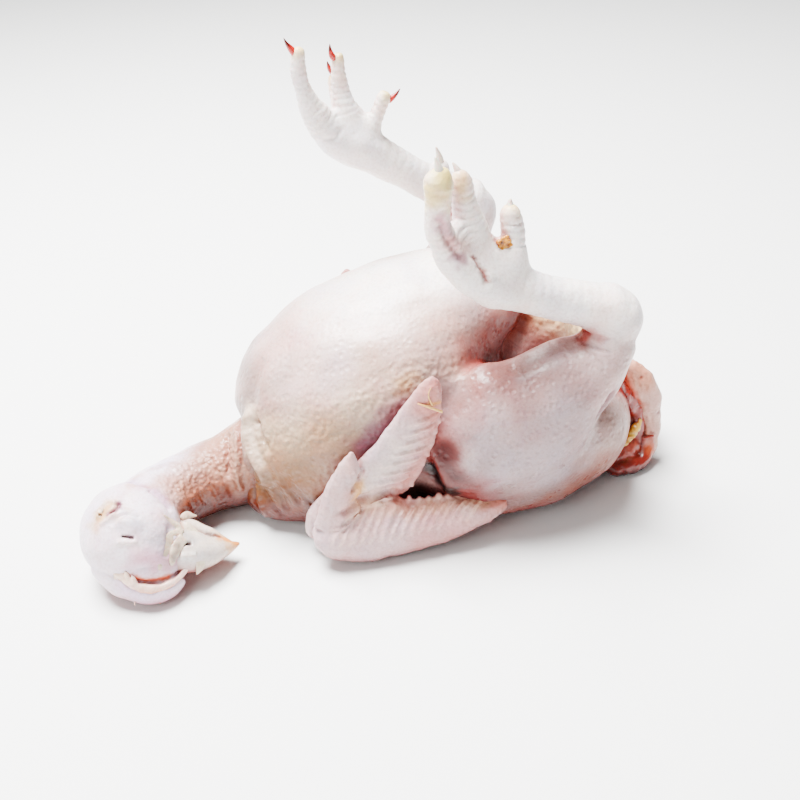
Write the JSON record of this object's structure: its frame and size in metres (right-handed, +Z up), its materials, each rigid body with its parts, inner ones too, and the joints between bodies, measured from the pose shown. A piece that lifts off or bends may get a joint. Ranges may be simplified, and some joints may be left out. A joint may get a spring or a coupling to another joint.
{
  "type": "whole raw chicken",
  "caption": "Whole plucked raw chicken lying on its back, with head, neck, folded wings, raised feet and tail, as sold before cooking.",
  "frame": {"origin": "on the table, under the middle of the bird's bounding box", "axes": "+X from the head towards the tail, +Z up out of the breast, -Y towards the bird's right wing"},
  "size_m": [0.294, 0.1642, 0.2117],
  "materials": {
    "skin": "moist, lightly pitted raw skin",
    "comb": "moist, waxy",
    "beak": "dull horn",
    "claw": "glossy horn",
    "flesh": "wet raw meat",
    "fat": "moist fat"
  },
  "bodies": {
    "root": {"chicken": "skin"}
  },
  "joints": []
}
